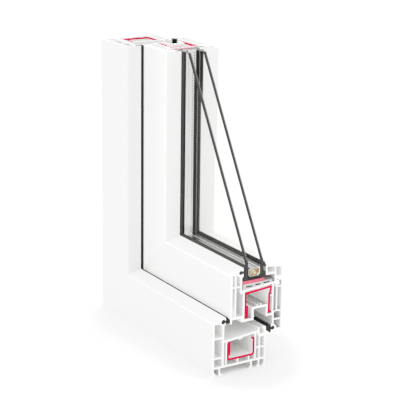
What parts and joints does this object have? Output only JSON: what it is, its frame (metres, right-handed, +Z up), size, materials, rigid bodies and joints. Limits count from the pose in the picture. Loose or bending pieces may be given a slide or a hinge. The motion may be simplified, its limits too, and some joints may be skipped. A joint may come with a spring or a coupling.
{
  "type": "window frame profile section",
  "caption": "Cut corner sample of a white plastic window: mitred frame and sash profiles with steel cores, rubber seals, glazing bead and a slant-cut double glazing unit.",
  "frame": {"origin": "middle of the footprint on the floor, under the sill's feet", "axes": "+X along the sill from the corner to its cut end, +Y from the outdoor face to the room, +Z up the jamb"},
  "size_m": [0.253, 0.0922, 0.3345],
  "materials": {
    "white_plastic": "satin",
    "red_steel": "satin coat",
    "gasket_rubber": "matt",
    "clear_glass": "polished",
    "bare_aluminium": "mill finish",
    "desiccant_grains": "loose grains",
    "edge_sealant": "matt",
    "pink_plastic": "moulded",
    "grey_plastic": "moulded"
  },
  "bodies": {
    "root": {"frame_sill": "white_plastic", "frame_jamb": "white_plastic", "sash_rail": "white_plastic", "sash_stile": "white_plastic", "bead_rail": "white_plastic", "bead_stile": "white_plastic", "frame_steel_sill": "red_steel", "frame_steel_jamb": "red_steel", "sash_steel_rail": "red_steel", "sash_steel_stile": "red_steel", "frame_gasket_sill": "gasket_rubber", "frame_gasket_jamb": "gasket_rubber", "overlap_gasket_rail": "gasket_rubber", "overlap_gasket_stile": "gasket_rubber", "glazing_gasket_rail": "gasket_rubber", "glazing_gasket_stile": "gasket_rubber", "bead_gasket_rail": "gasket_rubber", "bead_gasket_stile": "gasket_rubber", "outer_pane": "clear_glass", "inner_pane": "clear_glass", "spacer_rail": "bare_aluminium", "spacer_stile": "bare_aluminium", "desiccant_rail": "desiccant_grains", "desiccant_stile": "desiccant_grains", "edge_sealant": "edge_sealant", "packer_rail": "pink_plastic", "packer_stile": "pink_plastic", "bridge_rail": "grey_plastic", "bridge_stile": "grey_plastic"}
  },
  "joints": []
}
